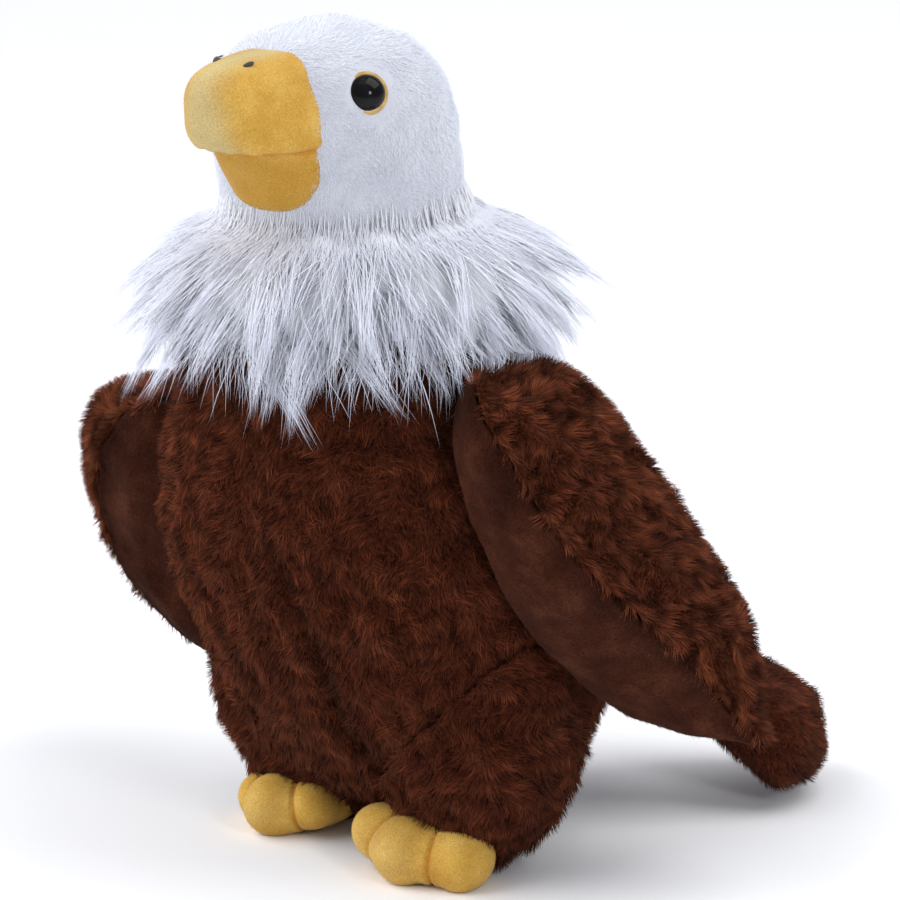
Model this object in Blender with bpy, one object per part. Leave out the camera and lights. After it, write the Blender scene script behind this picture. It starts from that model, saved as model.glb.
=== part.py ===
"""Plush bald eagle, sitting upright with half-open wings, in metres, +Z up.

The bird faces -Y and its left side is +X. Each sewn piece of the toy is one closed solid, out to the
tips of its pile. The solids meet with a thin gap along the sewn seams. The toy rests on the floor,
z = 0, on its legs, its feet and the tip of its tail.
"""

import math

import bmesh
import bpy
import numpy as np
from mathutils import Vector

SEAM_GAP = 0.0004
FLOOR = 0.0

# Body: stations of (height, centre y, half width, front depth, back depth).
TRUNK_STATIONS = (
    (0.0155, -0.012, 0.010, 0.010, 0.014),
    (0.024, -0.008, 0.022, 0.026, 0.034),
    (0.040, -0.003, 0.040, 0.044, 0.054),
    (0.060, -0.002, 0.058, 0.058, 0.064),
    (0.082, -0.003, 0.072, 0.067, 0.069),
    (0.110, -0.005, 0.0785, 0.074, 0.068),
    (0.140, -0.008, 0.075, 0.073, 0.063),
    (0.165, -0.012, 0.067, 0.066, 0.056),
    (0.184, -0.017, 0.057, 0.057, 0.049),
    (0.198, -0.021, 0.048, 0.048, 0.044),
)
TRUNK_SQUARENESS = 2.4
HEAD_STATIONS = (
    (0.1984, -0.021, 0.0430, 0.0430, 0.0400),
    (0.212, -0.022, 0.0420, 0.0420, 0.0405),
    (0.225, -0.024, 0.0415, 0.0425, 0.0400),
    (0.238, -0.026, 0.0420, 0.0440, 0.0400),
    (0.252, -0.028, 0.0420, 0.0455, 0.0400),
    (0.266, -0.029, 0.0400, 0.0460, 0.0380),
    (0.278, -0.030, 0.0345, 0.0420, 0.0325),
    (0.287, -0.031, 0.0240, 0.0310, 0.0220),
    (0.2915, -0.032, 0.0110, 0.0150, 0.0100),
    (0.2925, -0.032, 0.0, 0.0, 0.0),
)

# The bill and the eyes are turned a little to the left about the head's axis.
HEAD_TURN = 7
HEAD_AXIS_Y = -0.026

# Bill: level sections of (height, half width, front) about a point inside the head.
BILL = {"ahead": 0.009, "behind": 0.008, "mouth": 0.2540, "squareness": 2.5}
UPPER_BILL_STATIONS = (
    (0.2540, 0.0254, 0.0548),
    (0.2600, 0.0245, 0.0605),
    (0.2670, 0.0228, 0.0626),
    (0.2745, 0.0197, 0.0636),
    (0.2805, 0.0155, 0.0598),
    (0.2840, 0.0098, 0.0475),
    (0.2850, 0.0040, 0.0120),
)
LOWER_BILL_STATIONS = (
    (0.2270, 0.0080, 0.0180),
    (0.2300, 0.0160, 0.0280),
    (0.2335, 0.0222, 0.0332),
    (0.2390, 0.0256, 0.0366),
    (0.2460, 0.0266, 0.0410),
    (0.2540, 0.0258, 0.0466),
)
NOSTRIL = {"side": 0.0068, "ahead": 0.0575, "z": 0.2830, "length": 0.0046, "radius": 0.0009}

# Eyes sit on the side of the head, at an angle from the bill.
EYE = {"angle": 52, "height": 0.2718, "iris_radius": 0.0076, "pupil_radius": 0.0060, "sunk": 0.0026}
FACE = {"y": -0.0285, "half_width": 0.0390, "front": 0.0450}

# Legs and feet: stations of (height, centre x, centre y, half width, front, back) for the left leg.
LEG_STATIONS = (
    (0.000, 0.0350, 0.000, 0.0150, 0.0120, 0.0120),
    (0.006, 0.0355, 0.000, 0.0245, 0.0190, 0.0185),
    (0.018, 0.0370, -0.003, 0.0320, 0.0265, 0.0275),
    (0.030, 0.0380, -0.006, 0.0370, 0.0320, 0.0385),
    (0.046, 0.0390, -0.008, 0.0390, 0.0340, 0.0510),
    (0.066, 0.0400, -0.006, 0.0395, 0.0360, 0.0590),
    (0.086, 0.0410, -0.003, 0.0360, 0.0370, 0.0580),
    (0.102, 0.0420, 0.000, 0.0240, 0.0250, 0.0400),
    (0.110, 0.0420, 0.000, 0.0, 0.0, 0.0),
)
# Feet: toes of (x, y, z, radius), inner to outer, and the pad that joins them.
TOES = {
    "left": ((0.0205, -0.0270, 0.0130, 0.0098), (0.0345, -0.0290, 0.0106, 0.0116),
             (0.0505, -0.0210, 0.0098, 0.0108)),
    "right": ((-0.0215, -0.0215, 0.0115, 0.0085), (-0.0330, -0.0270, 0.0096, 0.0106),
              (-0.0450, -0.0205, 0.0082, 0.0090)),
}
TOE_STRETCH = 1.25
FOOT_ROWS = 11
FOOT_COLUMNS = 28
PADS = {"left": (0.0345, -0.0140, 0.0105, 0.0200), "right": (-0.0330, -0.0130, 0.0095, 0.0180)}

# Wings: sections lie in parallel planes that hold the chord and the fur side's normal.
# Stations of (front edge x, y, z, half chord, fur side depth, lining side depth).
WING_ARC = 8
WINGS = {
    "left": {
        "fur_normal": (0.61, 0.61, 0.508),
        "chord": (-0.743, 0.657, 0.104),
        "stations": (
            (0.083, -0.050, 0.184, 0.004, 0.000, 0.000),
            (0.088, -0.052, 0.176, 0.022, 0.014, 0.008),
            (0.095, -0.052, 0.167, 0.034, 0.028, 0.015),
            (0.103, -0.046, 0.152, 0.040, 0.035, 0.023),
            (0.111, -0.034, 0.130, 0.042, 0.035, 0.031),
            (0.118, -0.014, 0.108, 0.040, 0.031, 0.037),
            (0.123, 0.008, 0.088, 0.034, 0.025, 0.037),
            (0.128, 0.024, 0.069, 0.022, 0.018, 0.028),
            (0.134, 0.037, 0.054, 0.004, 0.000, 0.000),
        ),
    },
    "right": {
        "fur_normal": (-0.930, 0.100, 0.360),
        "chord": (0.107, 0.994, 0.000),
        "stations": (
            (-0.0800, -0.0400, 0.148, 0.004, 0.000, 0.000),
            (-0.0900, -0.0420, 0.1440, 0.020, 0.016, 0.018),
            (-0.1005, -0.0440, 0.1370, 0.030, 0.028, 0.031),
            (-0.1105, -0.0420, 0.1255, 0.036, 0.035, 0.040),
            (-0.1185, -0.0380, 0.1110, 0.038, 0.037, 0.044),
            (-0.1225, -0.0310, 0.0930, 0.037, 0.034, 0.043),
            (-0.1200, -0.0230, 0.0740, 0.031, 0.027, 0.036),
            (-0.1120, -0.0130, 0.0570, 0.020, 0.017, 0.023),
            (-0.1010, -0.0020, 0.0440, 0.004, 0.000, 0.000),
        ),
    },
}

# Tail: stations of (x, y, z, half width, half thickness). Its tip touches the floor.
TAIL_STATIONS = (
    (0.000, 0.030, 0.098, 0.036, 0.0300),
    (0.007, 0.058, 0.079, 0.035, 0.0235),
    (0.021, 0.084, 0.0620, 0.033, 0.0170),
    (0.038, 0.106, 0.0455, 0.034, 0.0155),
    (0.054, 0.124, 0.0280, 0.035, 0.0180),
    (0.0675, 0.1350, 0.0155, 0.031, 0.0165),
    (0.0755, 0.1425, 0.0140, 0.0, 0.0),
)

# Ruff: long locks that spread from the neck seam over the chest, the shoulders and the back.
RUFF_LOCKS = 26
RUFF_SEAM = {"y": -0.022, "radius": 0.0405, "height": 0.2180}
RUFF_TIP_FRONT = {"radius": 0.083, "height": 0.166}
RUFF_TIP_SIDE = {"radius": 0.085, "height": 0.183}
RUFF_TIP_BACK = {"radius": 0.080, "height": 0.174}
RUFF_NOTCH = 0.16

COLOURS = {
    "white_pile": ((0.86, 0.86, 0.90), 0.9),
    "ruff_pile": ((0.84, 0.83, 0.82), 0.85),
    "brown_pile": ((0.115, 0.040, 0.020), 0.95),
    "wing_pile": ((0.150, 0.050, 0.022), 0.95),
    "brown_velour": ((0.095, 0.042, 0.028), 0.85),
    "yellow_velour": ((0.80, 0.46, 0.07), 0.8),
    "black_gloss": ((0.005, 0.005, 0.006), 0.05),
    "amber_gloss": ((0.42, 0.24, 0.03), 0.15),
    "black_thread": ((0.010, 0.009, 0.008), 0.7),
}


def clear_scene():
    for obj in list(bpy.data.objects):
        bpy.data.objects.remove(obj)


def material(name):
    found = bpy.data.materials.get(name)
    if found:
        return found
    colour, roughness = COLOURS[name]
    made = bpy.data.materials.new(name)
    made.use_nodes = True
    shader = made.node_tree.nodes["Principled BSDF"]
    shader.inputs["Base Color"].default_value = (*colour, 1.0)
    shader.inputs["Roughness"].default_value = roughness
    return made


def resample(stations, count):
    """count stations on a smooth curve through the given ones, ends included."""
    given = np.array(stations, float)
    slopes = np.gradient(given, axis=0)
    made = []
    for place in np.linspace(0, len(given) - 1, count):
        i = min(int(place), len(given) - 2)
        t = place - i
        start = (1 + 2 * t) * (1 - t) ** 2 * given[i] + t * (1 - t) ** 2 * slopes[i]
        end = t * t * (3 - 2 * t) * given[i + 1] + t * t * (t - 1) * slopes[i + 1]
        made.append(start + end)
    made[-1] = given[-1]
    return made


def rounded(value, squareness):
    return math.copysign(abs(value) ** (2 / squareness), value)


def ring(centre, across, along, half_width, ahead, behind, segments, squareness=2.0):
    """Points round a section: half_width to each side, ahead and behind in the other direction."""
    points = []
    for k in range(segments):
        angle = 2 * math.pi * k / segments
        side = rounded(math.cos(angle), squareness) * half_width
        depth = rounded(math.sin(angle), squareness)
        depth *= ahead if depth > 0 else behind
        points.append(centre + across * side + along * depth)
    return points


def new_object(name, bm, slot):
    bmesh.ops.triangulate(bm, faces=bm.faces)
    bmesh.ops.recalc_face_normals(bm, faces=bm.faces)
    mesh = bpy.data.meshes.new(name)
    bm.to_mesh(mesh)
    bm.free()
    mesh.shade_smooth()
    mesh.materials.append(material(slot))
    obj = bpy.data.objects.new(name, mesh)
    bpy.context.scene.collection.objects.link(obj)
    return obj


def loft(name, rings, slot):
    """A closed solid through the rings. A ring of no size becomes a pole, and any other end is capped."""
    bm = bmesh.new()
    rows = [[bm.verts.new(p) for p in points] for points in rings]
    for low, high in zip(rows, rows[1:]):
        for k in range(len(low)):
            after = (k + 1) % len(low)
            bm.faces.new((low[k], low[after], high[after], high[k]))
    for row in (rows[0], rows[-1]):
        pole = bm.verts.new(sum((v.co for v in row), Vector()) / len(row))
        for k in range(len(row)):
            bm.faces.new((row[k], row[(k + 1) % len(row)], pole))
    bmesh.ops.remove_doubles(bm, verts=bm.verts, dist=1e-5)
    bmesh.ops.dissolve_degenerate(bm, edges=bm.edges, dist=1e-6)
    return new_object(name, bm, slot)


def upright(name, stations, slot, count, segments, squareness=2.0):
    """A solid of level sections: (height, centre y, half width, front, back)."""
    rings = []
    for z, y, half_width, front, back in resample(stations, count):
        centre = Vector((0, y, z))
        rings.append(
            ring(centre, Vector((1, 0, 0)), Vector((0, -1, 0)), half_width, front, back,
                 segments, squareness)
        )
    return loft(name, rings, slot)


def cut_at_floor(obj):
    """Cuts the solid off level at the floor, which leaves it a small flat to stand on."""
    bm = bmesh.new()
    bm.from_mesh(obj.data)
    geometry = bm.verts[:] + bm.edges[:] + bm.faces[:]
    bmesh.ops.bisect_plane(bm, geom=geometry, plane_co=(0, 0, FLOOR), plane_no=(0, 0, 1))
    for vertex in bm.verts:
        vertex.co.z = max(vertex.co.z, FLOOR)
    bm.to_mesh(obj.data)
    bm.free()
    return obj


def grown_copy(obj):
    """A hidden cutter: the solid's own shape, larger by the seam gap all over."""
    cutter = obj.copy()
    cutter.data = obj.data.copy()
    cutter.name = "cutter_" + obj.name
    cutter.modifiers.clear()
    bpy.context.scene.collection.objects.link(cutter)
    normals = [vertex.normal.copy() for vertex in cutter.data.vertices]
    for vertex, normal in zip(cutter.data.vertices, normals):
        vertex.co += normal * SEAM_GAP
    cutter.hide_render = True
    cutter.display_type = "WIRE"
    return cutter


def part_by_order(solids):
    """Each solid gives way to all those before it in the list, so that none overlap."""
    cutters = []
    for obj, keeps_clear_of in solids:
        for cutter in cutters:
            if cutter.name.removeprefix("cutter_") in keeps_clear_of:
                cut = obj.modifiers.new(cutter.name, "BOOLEAN")
                cut.operation = "DIFFERENCE"
                cut.object = cutter
        cutters.append(grown_copy(obj))


def make_trunk():
    return upright("trunk", TRUNK_STATIONS, "brown_pile", 13, 26, TRUNK_SQUARENESS)


def make_head():
    return upright("head", HEAD_STATIONS, "white_pile", 13, 24)


def face_frame():
    """The directions across and ahead of the turned face."""
    turn = math.radians(HEAD_TURN)
    return Vector((math.cos(turn), math.sin(turn), 0)), Vector((math.sin(turn), -math.cos(turn), 0))


def bill(name, stations, count):
    """One half of the bill. It ends level at the mouth, half a seam's gap from the other half."""
    across, ahead = face_frame()
    gap = math.copysign(SEAM_GAP / 2, sum(s[0] for s in stations) / len(stations) - BILL["mouth"])
    rings = []
    for z, half_width, front in resample(stations, count):
        height = z + gap if abs(z - BILL["mouth"]) < SEAM_GAP else z
        centre = Vector((0, HEAD_AXIS_Y, height)) + ahead * BILL["ahead"]
        rings.append(
            ring(centre, across, ahead, half_width, front, BILL["behind"], 20, BILL["squareness"])
        )
    return loft(name, rings, "yellow_velour")


def make_nostril(side, label):
    """A short bar of satin stitches on top of the bill."""
    across, ahead = face_frame()
    centre = Vector((0, HEAD_AXIS_Y, NOSTRIL["z"])) + ahead * NOSTRIL["ahead"]
    centre += across * side * NOSTRIL["side"]
    run = (across * side * 0.35 - ahead * 0.85 + Vector((0, 0, 0.30))).normalized()
    thick = run.cross(Vector((0, 0, 1))).normalized()
    rings = []
    for t in np.linspace(-1, 1, 7):
        radius = NOSTRIL["radius"] * math.sqrt(max(0.0, 1 - t * t))
        here = centre + run * (t * NOSTRIL["length"] / 2)
        rings.append(ring(here, thick, run.cross(thick), radius, radius, radius, 8))
    return loft("nostril_" + label, rings, "black_thread")


def eye_turn(side):
    return math.radians(HEAD_TURN + side * EYE["angle"])


def eye_axis(side):
    return Vector((math.sin(eye_turn(side)), -math.cos(eye_turn(side)), 0.38)).normalized()


def eye_centre(side):
    """The middle of the eye's back plate, just inside the head's surface."""
    turn = eye_turn(side)
    surface = 1 / math.hypot(math.sin(turn) / FACE["half_width"], math.cos(turn) / FACE["front"])
    depth = surface - EYE["sunk"]
    return Vector((math.sin(turn) * depth, FACE["y"] - math.cos(turn) * depth, EYE["height"]))


def dome(name, centre, axis, radius, rise, depth, slot, segments=16, rows=5):
    """A round button: a dome of the given rise on a straight rim that goes depth into the head."""
    across = axis.cross(Vector((0, 0, 1))).normalized()
    up = across.cross(axis)
    rings = [ring(centre - axis * depth, across, up, radius, radius, radius, segments)]
    for t in np.linspace(0, 1, rows):
        size = radius * math.cos(t * math.pi / 2)
        here = centre + axis * (rise * math.sin(t * math.pi / 2))
        rings.append(ring(here, across, up, size, size, size, segments))
    return loft(name, rings, slot)


def make_eye(side, label):
    """A black pupil button that stands on an amber iris plate."""
    axis = eye_axis(side)
    centre = eye_centre(side)
    iris = dome("iris_" + label, centre, axis, EYE["iris_radius"], 0.0024, 0.0040, "amber_gloss", rows=3)
    pupil_at = centre + axis * 0.0012
    radius = EYE["pupil_radius"]
    pupil = dome("pupil_" + label, pupil_at, axis, radius, 0.0044, 0.0008, "black_gloss", rows=4)
    return pupil, iris


def make_leg(side, label):
    rings = []
    for z, x, y, half_width, front, back in resample(LEG_STATIONS, 9):
        centre = Vector((side * x, y, z))
        rings.append(
            ring(centre, Vector((1, 0, 0)), Vector((0, -1, 0)), half_width, front, back, 16, 2.2)
        )
    return loft("leg_" + label, rings, "brown_pile")


def reach(centre, direction, lump):
    """How far a ray from inside runs before it leaves an ellipsoid, or 0 if it misses it."""
    middle, radii, heading = lump
    across = Vector((-heading.y, heading.x, 0))
    up = Vector((0, 0, 1))
    axes = ((across, radii[0]), (heading, radii[1]), (up, radii[2]))
    start = [(centre - middle).dot(axis) / radius for axis, radius in axes]
    step = [direction.dot(axis) / radius for axis, radius in axes]
    a = sum(s * s for s in step)
    b = 2 * sum(p * s for p, s in zip(start, step))
    c = sum(p * p for p in start) - 1
    root = b * b - 4 * a * c
    return (-b + math.sqrt(root)) / (2 * a) if root > 0 else 0.0


def make_foot(label):
    """Three stuffed toes round a pad: one skin, star-shaped about the pad, with a flat sole."""
    x, y, z, radius = PADS[label]
    centre = Vector((x, y, z))
    heel = Vector((x, y + radius, 0))
    lumps = [(centre, (radius, radius, z + 0.001), Vector((0, -1, 0)))]
    for x, y, z, radius in TOES[label]:
        heading = (Vector((x, y, 0)) - heel).normalized()
        lumps.append((Vector((x, y, z)), (radius, radius * TOE_STRETCH, radius), heading))
    rings = []
    for level in np.linspace(-math.pi / 2, math.pi / 2, FOOT_ROWS):
        points = []
        for k in range(FOOT_COLUMNS):
            turn = 2 * math.pi * k / FOOT_COLUMNS
            flat = math.cos(level)
            direction = Vector((math.cos(turn) * flat, math.sin(turn) * flat, math.sin(level)))
            far = max(reach(centre, direction, lump) for lump in lumps)
            if direction.z < 0:
                far = min(far, (FLOOR - centre.z) / direction.z)
            points.append(centre + direction * far)
        rings.append(points)
    return loft("foot_" + label, rings, "yellow_velour")


def wing_half(name, wing, slot, is_fur):
    """One side of a wing: half of each section, from the flat plane of the seam outwards."""
    chord = Vector(wing["chord"]).normalized()
    outward = Vector(wing["fur_normal"]).normalized() * (1 if is_fur else -1)
    rings = []
    for x, y, z, half_chord, fur, lining in resample(wing["stations"], 13):
        centre = Vector((x, y, z)) + chord * half_chord + outward * (SEAM_GAP / 2)
        depth = fur if is_fur else lining
        points = []
        for k in range(WING_ARC + 1):
            angle = math.pi * k / WING_ARC
            along = math.cos(angle) * max(half_chord, 0.002)
            points.append(centre + chord * along + outward * (math.sin(angle) * max(depth, 0.0015)))
        rings.append(points)
    return loft(name, rings, slot)


def make_tail():
    centres = resample(TAIL_STATIONS, 11)
    rings = []
    for index, (x, y, z, half_width, half_thickness) in enumerate(centres):
        before = Vector(centres[max(index - 1, 0)][:3])
        after = Vector(centres[min(index + 1, len(centres) - 1)][:3])
        run = (after - before).normalized()
        across = run.cross(Vector((0, 0, 1))).normalized()
        up = across.cross(run)
        rings.append(
            ring(Vector((x, y, z)), across, up, half_width, half_thickness, half_thickness, 18, 2.8)
        )
    return cut_at_floor(loft("tail", rings, "brown_pile"))


def ruff_tip(turn):
    """Radius and height of the locks' tips at a turn from straight ahead."""
    front = max(0.0, math.cos(turn)) ** 2
    back = max(0.0, -math.cos(turn)) ** 2
    side = 1 - front - back
    shares = ((front, RUFF_TIP_FRONT), (side, RUFF_TIP_SIDE), (back, RUFF_TIP_BACK))
    radius = sum(share * tip["radius"] for share, tip in shares)
    height = sum(share * tip["height"] for share, tip in shares)
    return radius, height


def make_ruff():
    """A skirt of pointed locks, thick at the neck seam and thin at the tips."""
    dice = np.random.default_rng(7)
    lengths = dice.uniform(-0.5, 0.6, RUFF_LOCKS)
    columns = RUFF_LOCKS * 2
    rings = []
    for column in range(columns):
        turn = 2 * math.pi * column / columns
        lock = column // 2
        point = column % 2
        tip_radius, tip_height = ruff_tip(turn)
        seam_radius, seam_height = RUFF_SEAM["radius"], RUFF_SEAM["height"]
        length = 1 - RUFF_NOTCH * (1 - point) + 0.07 * lengths[lock] * point
        run = Vector((tip_radius - seam_radius, tip_height - seam_height + 0.004)) * length
        end = Vector((seam_radius, seam_height)) + run
        profile = (
            (seam_radius, seam_height - 0.002),
            (seam_radius + 0.008, seam_height + 0.003),
            (seam_radius + 0.62 * run.x, seam_height + 0.36 * run.y + 0.001),
            (end.x, end.y),
            (end.x - 0.001, end.y - 0.003),
            (seam_radius + 0.30 * run.x, seam_height + 0.62 * run.y),
            (seam_radius, seam_height - 0.022),
        )
        outward = Vector((math.sin(turn), -math.cos(turn), 0))
        rings.append(
            [Vector((0, RUFF_SEAM["y"], z)) + outward * r for r, z in profile]
        )
    bm = bmesh.new()
    rows = [[bm.verts.new(p) for p in points] for points in rings]
    for row, following in zip(rows, rows[1:] + rows[:1]):
        for k in range(len(row)):
            after = (k + 1) % len(row)
            bm.faces.new((row[k], row[after], following[after], following[k]))
    return new_object("ruff", bm, "ruff_pile")


def stand_on_origin(objects):
    """Moves the toy so that the origin is at floor level in the middle of its bounding box."""
    graph = bpy.context.evaluated_depsgraph_get()
    corners = []
    for obj in objects:
        if not obj.hide_render:
            corners += [Vector(c) for c in obj.evaluated_get(graph).bound_box]
    low_x, high_x = min(c.x for c in corners), max(c.x for c in corners)
    low_y, high_y = min(c.y for c in corners), max(c.y for c in corners)
    shift = Vector((-(low_x + high_x) / 2, -(low_y + high_y) / 2, 0))
    for obj in objects:
        obj.location += shift


def build():
    clear_scene()
    order = []
    for side, label in ((1, "left"), (-1, "right")):
        pupil, iris = make_eye(side, label)
        order.append((pupil, ()))
        order.append((iris, ("pupil_" + label,)))
        order.append((make_nostril(side, label), ()))
    order.append((bill("bill_upper", UPPER_BILL_STATIONS, 9), ("nostril_left", "nostril_right")))
    order.append((bill("bill_lower", LOWER_BILL_STATIONS, 7), ()))
    eyes = ("iris_left", "iris_right", "pupil_left", "pupil_right")
    face = ("bill_upper", "bill_lower") + eyes
    order.append((make_head(), face))
    order.append((make_trunk(), ()))
    order.append((make_foot("left"), ()))
    order.append((make_foot("right"), ("foot_left",)))
    for side, label in ((1, "left"), (-1, "right")):
        order.append((make_leg(side, label), ("trunk", "foot_left", "foot_right", "leg_left")))
    body = ("trunk", "leg_left", "leg_right")
    order.append((make_tail(), body))
    for label, wing in WINGS.items():
        cover = wing_half("wing_cover_" + label, wing, "wing_pile", True)
        lining = wing_half("wing_lining_" + label, wing, "brown_velour", False)
        order.append((cover, body + ("tail",)))
        order.append((lining, body + ("tail",)))
    wings = ("wing_cover_left", "wing_lining_left", "wing_cover_right", "wing_lining_right")
    order.append((make_ruff(), ("head", "trunk", "bill_lower") + wings))
    part_by_order(order)
    stand_on_origin(list(bpy.data.objects))


build()
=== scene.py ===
import math

import bpy
import numpy as np
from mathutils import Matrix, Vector
from mathutils.bvhtree import BVHTree
from mathutils.kdtree import KDTree


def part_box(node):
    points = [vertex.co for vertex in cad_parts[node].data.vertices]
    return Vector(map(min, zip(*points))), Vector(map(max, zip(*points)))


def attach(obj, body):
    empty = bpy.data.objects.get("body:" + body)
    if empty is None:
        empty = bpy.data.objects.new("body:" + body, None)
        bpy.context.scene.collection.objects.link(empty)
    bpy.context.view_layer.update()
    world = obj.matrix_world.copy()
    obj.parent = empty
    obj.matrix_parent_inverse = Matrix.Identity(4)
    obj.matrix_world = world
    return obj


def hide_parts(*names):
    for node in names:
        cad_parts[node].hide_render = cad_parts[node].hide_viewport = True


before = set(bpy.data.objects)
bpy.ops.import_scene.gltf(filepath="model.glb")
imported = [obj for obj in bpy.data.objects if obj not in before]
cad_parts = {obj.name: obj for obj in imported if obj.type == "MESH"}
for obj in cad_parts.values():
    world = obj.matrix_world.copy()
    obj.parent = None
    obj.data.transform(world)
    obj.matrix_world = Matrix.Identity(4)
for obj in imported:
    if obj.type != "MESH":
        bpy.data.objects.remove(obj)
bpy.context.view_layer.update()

# The toy's own axis: the trunk's middle, at the depth that its sections are set out from
trunkLow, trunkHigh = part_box("trunk")
trunkFront = 0.079
axis = np.array(((trunkLow[0] + trunkHigh[0]) / 2, trunkLow[1] + trunkFront, 0.0))

mapName = "OFBake"
tuftPlace = 0.003  # one tuft's place on the map
softness = 0.88  # how far the light on a hair follows the pile around it
deepest = 0.015  # a root further inside a neighbour than this is hidden anyway
floorGap = 0.0003  # nothing goes under the floor
flatness = 0.8  # a hair's thickness against its width
weldGap = 0.00002
unwrapLook = {"angle": math.radians(66), "margin": 0.004}
down = np.array((0.0, 0.0, -1.0))


# Small tools for shapes

def unit(vectors):
    return vectors / np.maximum(np.linalg.norm(vectors, axis=-1, keepdims=True), 1e-9)


def dot(one, other):
    return np.sum(one * other, axis=-1, keepdims=True)


def alongSkin(heading, normals):
    return unit(heading - normals * dot(heading, normals))


def ripple(points, size, seed):
    # A smooth random field, about -1 to 1, with swells about size across
    dice = np.random.default_rng(seed)
    total = np.zeros(points.shape[:-1])
    for _ in range(7):
        heading = unit(dice.normal(size=3)) * 2 * math.pi / (size * dice.uniform(1.3, 2.8))
        total += np.sin(points @ heading + dice.uniform(0, 2 * math.pi))
    return total / 2.6


def steady(heading):
    # Pile that lies the same way all over a piece
    return lambda points, normals: np.broadcast_to(heading, points.shape)


def between(one, other, share):
    return one + (other - one) * share


def fullTurn(segments):
    return np.linspace(0, 2 * math.pi, segments, endpoint=False)


def middleOf(node):
    low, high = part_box(node)
    return (np.array(low) + np.array(high)) / 2


def addObject(name, data):
    obj = bpy.data.objects.new(name, data)
    bpy.context.scene.collection.objects.link(obj)
    return obj


def readAll(items, key, width, kind=np.float32):
    # A row of values for each of a mesh's vertices, corners or triangles
    values = np.empty(len(items) * width, kind)
    items.foreach_get(key, values)
    return values.reshape(-1, width)


def writeAll(items, key, values, kind=np.float32):
    items.foreach_set(key, np.asarray(values, kind).ravel())


def addValues(mesh, name, values, kind="FLOAT"):
    layer = mesh.attributes.new(name, kind, "POINT")
    writeAll(layer.data, "value" if kind == "FLOAT" else "vector", values)


def meshFrom(name, points, triangles):
    points, triangles = np.asarray(points), np.asarray(triangles)
    one, two, three = (points[triangles[:, k]] for k in range(3))
    if np.sum(one * np.cross(two, three)) < 0:  # every face looks out of the solid
        triangles = triangles[:, ::-1]
    mesh = bpy.data.meshes.new(name)
    mesh.vertices.add(len(points))
    writeAll(mesh.vertices, "co", points)
    mesh.loops.add(len(triangles) * 3)
    writeAll(mesh.loops, "vertex_index", triangles, np.int32)
    mesh.polygons.add(len(triangles))
    writeAll(mesh.polygons, "loop_start", np.arange(len(triangles)) * 3, np.int32)
    mesh.update(calc_edges=True)
    mesh.shade_smooth()
    return mesh


def pointsOf(mesh):
    return readAll(mesh.vertices, "co", 3).astype(float)


def normalsOf(mesh):
    return readAll(mesh.vertices, "normal", 3).astype(float)


def setPoints(mesh, points):
    writeAll(mesh.vertices, "co", points)
    mesh.update()


def unwrap(obj):
    obj.data.uv_layers.new(name=mapName)
    bpy.ops.object.select_all(action="DESELECT")
    obj.select_set(True)
    bpy.context.view_layer.objects.active = obj
    bpy.ops.object.mode_set(mode="EDIT")
    bpy.ops.mesh.select_all(action="SELECT")
    bpy.ops.uv.smart_project(angle_limit=unwrapLook["angle"], island_margin=unwrapLook["margin"])
    bpy.ops.object.mode_set(mode="OBJECT")


def evenSkin(name, shape, look, hold=None, folds=None, weld=None):
    # A fine, even skin of a rough closed shape, drawn in by the depth of its pile
    source = addObject(name + "Source", shape)
    if weld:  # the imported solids' faces don't share their corners
        source.modifiers.new("weld", "WELD").merge_threshold = weld
    remesh = source.modifiers.new("even cells", "REMESH")
    remesh.mode = "VOXEL"
    remesh.voxel_size = look["cell"]
    source.modifiers.new("soften", "SMOOTH").iterations = look["smooth"]
    graph = bpy.context.evaluated_depsgraph_get()
    mesh = bpy.data.meshes.new_from_object(source.evaluated_get(graph))
    bpy.data.objects.remove(source)
    mesh.name = name
    mesh.materials.clear()
    mesh.shade_smooth()
    points, normals = pointsOf(mesh), normalsOf(mesh)
    depth = look["inset"] * (hold(points, normals)[:, None] if hold else 1)
    swell = look["relief"] * ripple(points, look["reliefSize"], len(name))
    if folds:
        swell = swell - folds(points, normals)
    points = points + normals * (swell[:, None] - depth)
    points[:, 2] = np.maximum(points[:, 2], floorGap)
    setPoints(mesh, points)
    skin = addObject(name, mesh)
    unwrap(skin)
    return skin


def skinFrom(name, node, look, hold=None, folds=None):
    return evenSkin(name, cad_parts[node].data.copy(), look, hold, folds, weld=weldGap)


def ringFaces(rows, segments, capped=True):
    # Triangles between rings of points. The ends close to the two points that follow the rings,
    # or without caps the last ring joins the first
    faces = []
    for row in range(rows - 1 if capped else rows):
        after = (row + 1) % rows
        for k in range(segments):
            a, b = row * segments + k, row * segments + (k + 1) % segments
            c, d = after * segments + (k + 1) % segments, after * segments + k
            faces += [(a, b, c), (a, c, d)]
    total = rows * segments
    for k in range(segments if capped else 0):
        after = (k + 1) % segments
        faces += [(k, total, after), (total - segments + k, total - segments + after, total + 1)]
    return np.array(faces)


def loft(stations, squareness, rows, segments, place):
    # Rings through the stations; place turns a station and a turn's cosine and sine into a point
    stations = np.array(stations)
    spots = np.linspace(0, len(stations) - 1, rows)
    fine = np.stack([smoothThrough(column, spots) for column in stations.T], axis=1)
    turns = fullTurn(segments)
    waves = np.cos(turns), np.sin(turns)
    side, depth = (np.sign(wave) * np.abs(wave) ** (2 / squareness) for wave in waves)
    rings = np.array([place(station, side, depth) for station in fine])
    points = np.concatenate((rings.reshape(-1, 3), rings[:1].mean(axis=1), rings[-1:].mean(axis=1)))
    return points, ringFaces(rows, segments)


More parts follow.
